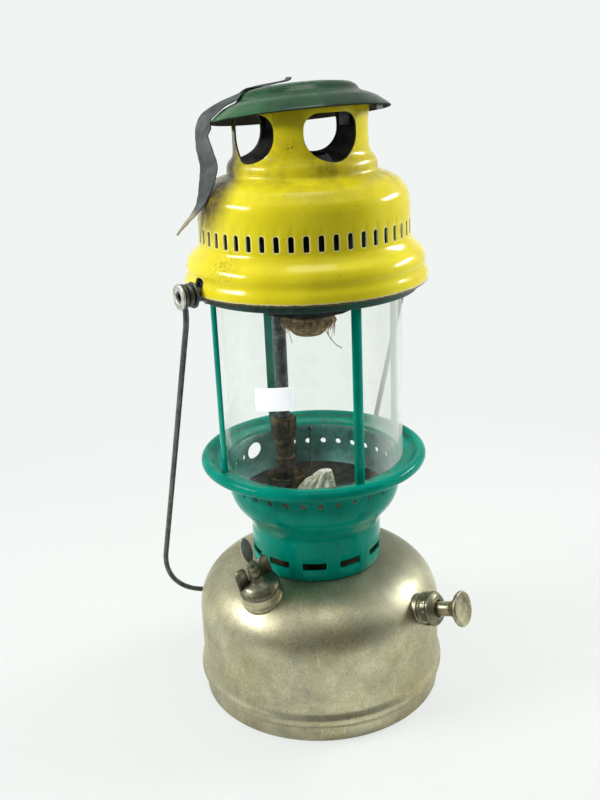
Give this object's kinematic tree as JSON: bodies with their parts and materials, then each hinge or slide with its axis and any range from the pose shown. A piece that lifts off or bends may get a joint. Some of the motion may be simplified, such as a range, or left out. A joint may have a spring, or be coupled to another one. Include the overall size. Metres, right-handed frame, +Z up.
{
  "type": "paraffin pressure lantern",
  "caption": "Paraffin pressure lantern: pump tank, perforated gallery, glass globe in a strip frame, slotted hood with a leaning cap, and a wire bail hanging behind.",
  "frame": {"origin": "centre of the tank's foot, on the ground", "axes": "+Z up along the tank's axis, -Y the pictured front, +X to the right seen from the front"},
  "size_m": [0.1861, 0.1715, 0.3596],
  "materials": {
    "tank_plate": "dull, stained nickel plate",
    "aged_brass": "worn and tarnished",
    "dark_steel": "dark, sooted",
    "green_enamel": "glossy enamel",
    "cap_enamel": "worn glossy enamel",
    "yellow_enamel": "glossy enamel with chips",
    "zinc_plate": "pale plated",
    "black_plastic": "matte",
    "fired_clay": "rough fired clay",
    "leather": "oiled",
    "mantle_cloth": "crumpled gauze",
    "tape_cloth": "matte cloth tape",
    "globe_glass": "clear, slightly dusty"
  },
  "bodies": {
    "base": {"tank_shell": "tank_plate", "tank_base": "tank_plate", "filler_neck": "tank_plate", "pump_tube": "aged_brass", "pump_socket": "tank_plate", "check_valve": "aged_brass", "burner_boss": "aged_brass", "pickup_tube": "aged_brass", "valve_body": "aged_brass", "control_gland": "aged_brass", "lower_stem": "aged_brass", "vaporiser_nut": "aged_brass", "vaporiser_tube": "dark_steel", "jet": "aged_brass", "spirit_cup": "aged_brass", "gallery": "green_enamel", "floor_pan": "dark_steel", "floor_post": "dark_steel", "mantle_scrap": "mantle_cloth", "frame_strip_1": "green_enamel", "frame_strip_2": "green_enamel", "frame_strip_3": "green_enamel", "frame_strip_4": "green_enamel", "top_ring": "green_enamel", "bail_lug_left": "dark_steel", "bail_spacer_left": "dark_steel", "bail_eyelet_left": "zinc_plate", "bail_lug_right": "dark_steel", "bail_spacer_right": "dark_steel", "bail_eyelet_right": "zinc_plate"},
    "bail": {"bail": "dark_steel"},
    "hood": {"hood": "yellow_enamel", "hood_cap": "cap_enamel", "cap_bracket_1": "dark_steel", "cap_bracket_2": "dark_steel", "cap_bracket_3": "dark_steel", "cover_strip": "tape_cloth"},
    "burner": {"burner_carrier": "dark_steel", "burner_casing": "dark_steel", "burner_plate": "dark_steel", "mixing_tube": "dark_steel", "nozzle_holder": "aged_brass", "ceramic_nozzle": "fired_clay"},
    "globe": {"globe": "globe_glass"},
    "filler_cap": {"filler_cap": "tank_plate", "filler_washer": "leather"},
    "air_screw": {"air_screw": "dark_steel"},
    "pump_cap": {"pump_cap": "tank_plate", "pump_spring": "dark_steel"},
    "pump_plunger": {"pump_rod": "dark_steel", "pump_knob": "aged_brass", "pump_leather": "leather"},
    "control": {"control_spindle": "dark_steel", "control_knob": "black_plastic"},
    "pricker": {"pricker_rod": "dark_steel"}
  },
  "joints": [
    {"name": "bail_swing", "type": "hinge", "parent": "base", "child": "bail", "pos_m": [0, 0, 0.256], "axis": [0.848, 0.5299, 0], "range_deg": [0, 322]},
    {"name": "hood_lift", "type": "slide", "parent": "base", "child": "hood", "axis": [0, 0, 1], "range_m": [0, 0.07]},
    {"name": "burner_lift", "type": "slide", "parent": "base", "child": "burner", "axis": [0, 0, 1], "range_m": [0, 0.042]},
    {"name": "globe_lift", "type": "slide", "parent": "base", "child": "globe", "axis": [0, 0, 1], "range_m": [0, 0.021]},
    {"name": "filler_cap_turn", "type": "hinge", "parent": "base", "child": "filler_cap", "pos_m": [-0.03247, -0.0434, 0.07923], "axis": [-0.193, -0.258, 0.9466], "range_deg": [0, 540]},
    {"name": "air_screw_turn", "type": "hinge", "parent": "filler_cap", "child": "air_screw", "pos_m": [-0.03247, -0.0434, 0.07923], "axis": [-0.193, -0.258, 0.9466], "range_deg": [0, 540]},
    {"name": "pump_cap_turn", "type": "hinge", "parent": "base", "child": "pump_cap", "pos_m": [0.06198, -0.04025, 0.0643], "axis": [0.8062, -0.5235, 0.2756], "range_deg": [0, 540]},
    {"name": "pump_stroke", "type": "slide", "parent": "pump_cap", "child": "pump_plunger", "axis": [0.8062, -0.5235, 0.2756], "range_m": [0, 0.044]},
    {"name": "control_turn", "type": "hinge", "parent": "base", "child": "control", "pos_m": [0, 0, 0.0956], "axis": [0.0523, 0.9986, 0], "range_deg": [0, 270]},
    {"name": "pricker_rise", "type": "slide", "parent": "base", "child": "pricker", "axis": [0, 0, 1], "range_m": [0, 0.003]}
  ],
  "couplings": [
    {"joint": "burner_lift", "follows": "hood_lift", "ratio": 0.6},
    {"joint": "globe_lift", "follows": "hood_lift", "ratio": 0.3},
    {"joint": "pricker_rise", "follows": "control_turn", "m_per_rad": 0.000636}
  ]
}
